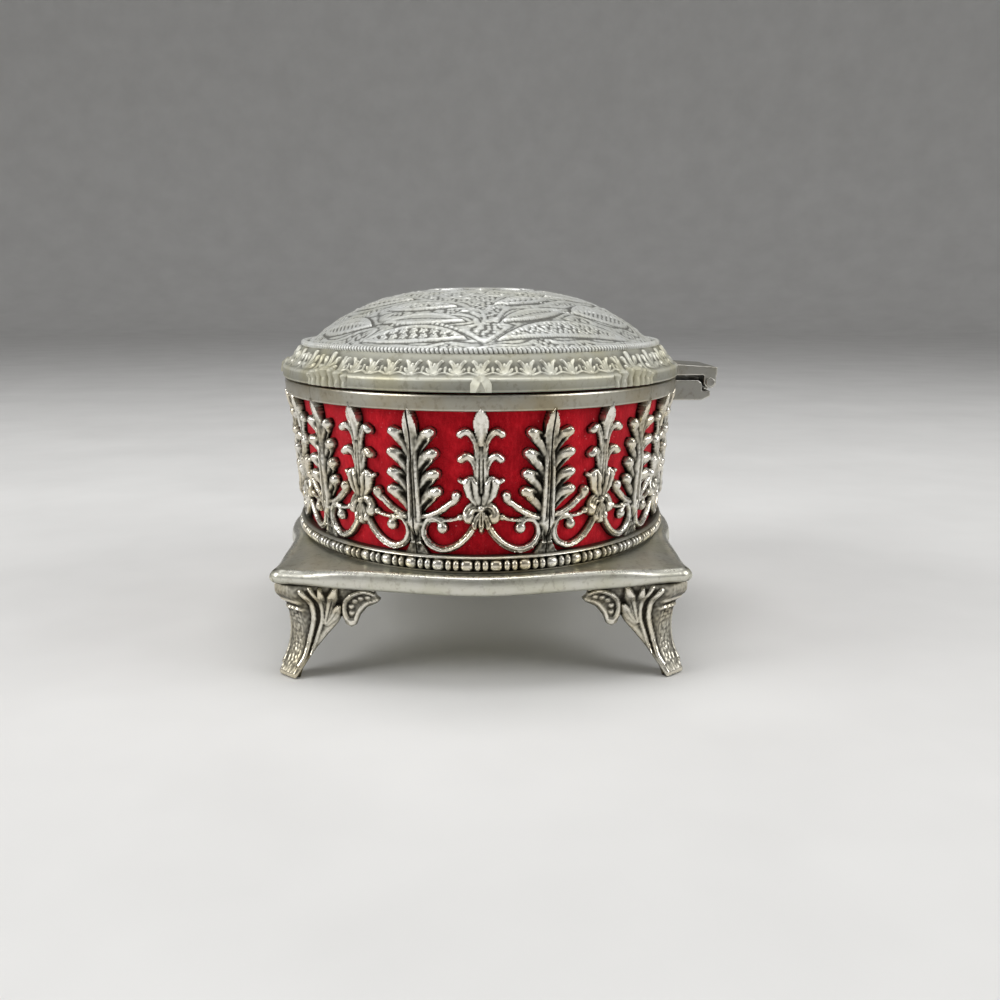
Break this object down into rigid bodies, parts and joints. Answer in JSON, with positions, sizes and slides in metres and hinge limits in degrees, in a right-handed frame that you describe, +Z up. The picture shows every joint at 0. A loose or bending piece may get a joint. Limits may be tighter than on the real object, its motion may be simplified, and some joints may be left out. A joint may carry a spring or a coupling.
{
  "type": "jewelry casket",
  "caption": "Footed oval jewelry casket in cast white metal: hinged domed lid, openwork gallery over red velvet, flared plate and cabriole feet.",
  "frame": {"origin": "the oval's axis at floor level, midway between the four feet", "axes": "+X along the oval's long axis, +Z up, the front faces -Y and the hinge is at +Y"},
  "size_m": [0.1276, 0.1007, 0.0774],
  "materials": {
    "gallery_metal": "satin",
    "lid_metal": "satin",
    "plate_metal": "satin",
    "foot_metal": "satin",
    "steel": "satin",
    "velvet": "matte",
    "card": "matte"
  },
  "bodies": {
    "casket": {"base_plate": "plate_metal", "foot_front_left": "foot_metal", "foot_front_right": "foot_metal", "foot_back_left": "foot_metal", "foot_back_right": "foot_metal", "foot_screws": "steel", "gallery_front": "gallery_metal", "gallery_back": "gallery_metal", "gallery_left_end": "gallery_metal", "gallery_right_end": "gallery_metal", "outer_velvet": "velvet", "wall_card": "card", "inner_velvet": "velvet", "floor_card": "card", "floor_pad": "velvet", "hinge_bracket": "gallery_metal", "hinge_pin": "steel"},
    "lid": {"lid_shell": "lid_metal", "lid_lining_card": "card", "lid_lining_pad": "velvet", "lid_hinge_tongue": "lid_metal"}
  },
  "joints": [
    {"name": "lid_hinge", "type": "hinge", "parent": "casket", "child": "lid", "pos_m": [0, 0.0522, 0.0562], "axis": [-1, 0, 0], "range_deg": [0, 100]}
  ]
}
